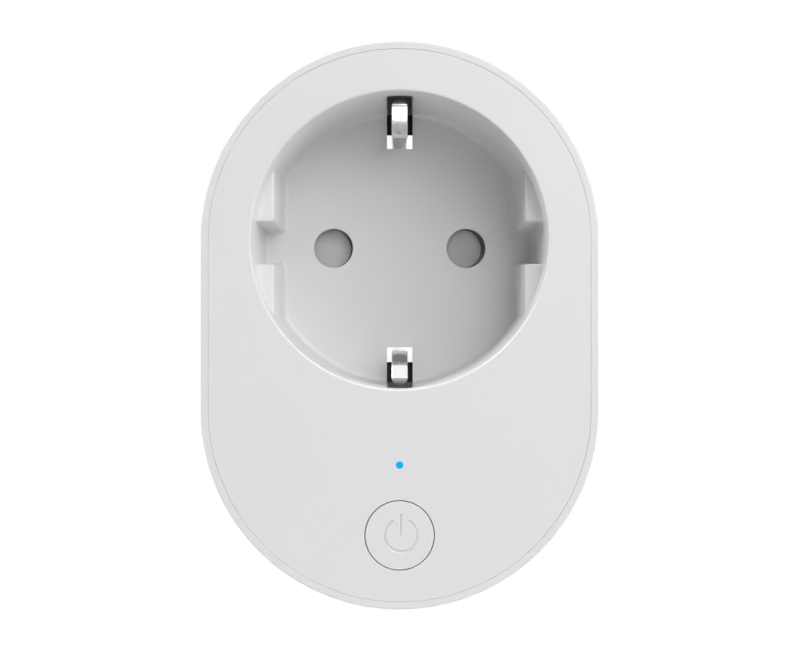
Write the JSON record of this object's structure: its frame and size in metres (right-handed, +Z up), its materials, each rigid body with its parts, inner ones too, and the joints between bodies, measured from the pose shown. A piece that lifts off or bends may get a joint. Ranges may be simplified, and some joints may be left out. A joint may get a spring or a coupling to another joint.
{
  "type": "smart plug",
  "caption": "Stadium-shaped white smart plug: a shuttered round socket recess with side earth clips, a status light and a push button in front, and a two-pin round plug behind.",
  "frame": {"origin": "centre of the plug's end face, halfway between its two pins, on the axis that the plug and the socket share", "axes": "+Y is the way the pins point, into the wall, +Z is up the long side of the body, and the user faces the part from -Y"},
  "size_m": [0.0516, 0.0625, 0.0737],
  "materials": {
    "white_shell": "fine satin white polycarbonate, side shell",
    "white_cover": "fine satin white polycarbonate, front plate and recess",
    "white_button": "fine satin white polycarbonate, button cap",
    "inner_white": "plain white moulding, shutter parts",
    "nickel_brass": "solid brass with bright nickel plating, plug pins",
    "earth_metal": "bright nickel-plated spring strip",
    "contact_brass": "bare brass strip",
    "copper": "bare copper strip",
    "black_plastic": "black moulding",
    "relay_black": "glossy dark relay cover",
    "spring_steel": "drawn spring wire",
    "screw_steel": "zinc-plated screws",
    "soft_iron": "plain soft iron",
    "light_blue": "clear light pipe lit blue",
    "led_blue": "lit blue diode",
    "board_green": "green solder mask",
    "board_blue": "blue solder mask",
    "tin": "tinned sheet",
    "winding": "enamelled copper winding",
    "tape_yellow": "yellow insulating tape and bobbin",
    "capacitor_blue": "dark sleeve",
    "capacitor_yellow": "yellow plastic box",
    "varistor_blue": "blue epoxy coat",
    "fuse_ceramic": "white ceramic tube",
    "ferrite": "dark ferrite",
    "sleeve_green": "green shrink sleeve",
    "chip_black": "black epoxy package",
    "shunt_alloy": "bare resistance alloy"
  },
  "bodies": {
    "base": {"housing": "white_shell", "front_cover": "white_cover", "rear_cover": "white_shell", "plug_body": "white_shell", "live_pin": "nickel_brass", "neutral_pin": "nickel_brass", "plug_earth_upper": "earth_metal", "plug_earth_lower": "earth_metal", "earth_strap": "earth_metal", "strap_rivets": "contact_brass", "strap_pads": "black_plastic", "live_contact": "contact_brass", "neutral_contact": "contact_brass", "contact_carrier": "black_plastic", "shutter_spring": "spring_steel", "shutter_guide": "inner_white", "guide_screws": "screw_steel", "light_pipe": "light_blue", "status_led": "led_blue", "switch_body": "black_plastic", "control_board": "board_green", "wifi_board": "board_blue", "wifi_shield": "tin", "power_board": "board_green", "relay_base": "black_plastic", "relay_case": "relay_black", "relay_coil": "winding", "relay_yoke": "soft_iron", "relay_contacts": "contact_brass", "bulk_capacitor": "capacitor_blue", "x_capacitor": "capacitor_yellow", "varistor": "varistor_blue", "fuse": "fuse_ceramic", "transformer_core": "ferrite", "transformer_winding": "tape_yellow", "choke": "sleeve_green", "rectifier": "chip_black", "shunt": "shunt_alloy", "board_link": "black_plastic", "live_busbar": "copper", "neutral_busbar": "copper", "cover_screws": "screw_steel"},
    "button": {"power_button": "white_button"},
    "plunger": {"switch_plunger": "black_plastic"},
    "shutter": {"shutter_slider": "inner_white"},
    "upper_clip": {"upper_earth_clip": "earth_metal"},
    "lower_clip": {"lower_earth_clip": "earth_metal"},
    "armature": {"relay_armature": "soft_iron"}
  },
  "joints": [
    {"name": "button_press", "type": "slide", "parent": "base", "child": "button", "axis": [0, 1, 0], "range_m": [0, 0.00035], "stiffness_N_per_m": 1500, "springref_m": -0.0003},
    {"name": "plunger_press", "type": "slide", "parent": "base", "child": "plunger", "axis": [0, 1, 0], "range_m": [0, 0.00035]},
    {"name": "shutter_slide", "type": "slide", "parent": "base", "child": "shutter", "axis": [-1, 0, 0], "range_m": [0, 0.0059], "stiffness_N_per_m": 90, "springref_m": -0.004, "deforming": ["shutter_spring"]},
    {"name": "upper_clip_flex", "type": "hinge", "parent": "base", "child": "upper_clip", "pos_m": [0, -0.0246, 0.0163], "axis": [-1, 0, 0], "range_deg": [0, 9.5], "stiffness_Nm_per_rad": 0.4, "springref_deg": -1.72},
    {"name": "lower_clip_flex", "type": "hinge", "parent": "base", "child": "lower_clip", "pos_m": [0, -0.0246, -0.0163], "axis": [1, 0, 0], "range_deg": [0, 9.5], "stiffness_Nm_per_rad": 0.4, "springref_deg": -1.72},
    {"name": "relay_pull_in", "type": "hinge", "parent": "base", "child": "armature", "pos_m": [-0.00775, -0.0318, -0.0298], "axis": [0, 0, 1], "range_deg": [0, 4], "stiffness_Nm_per_rad": 0.02, "springref_deg": -5.73}
  ],
  "couplings": [
    {"joint": "plunger_press", "follows": "button_press", "ratio": 1}
  ]
}
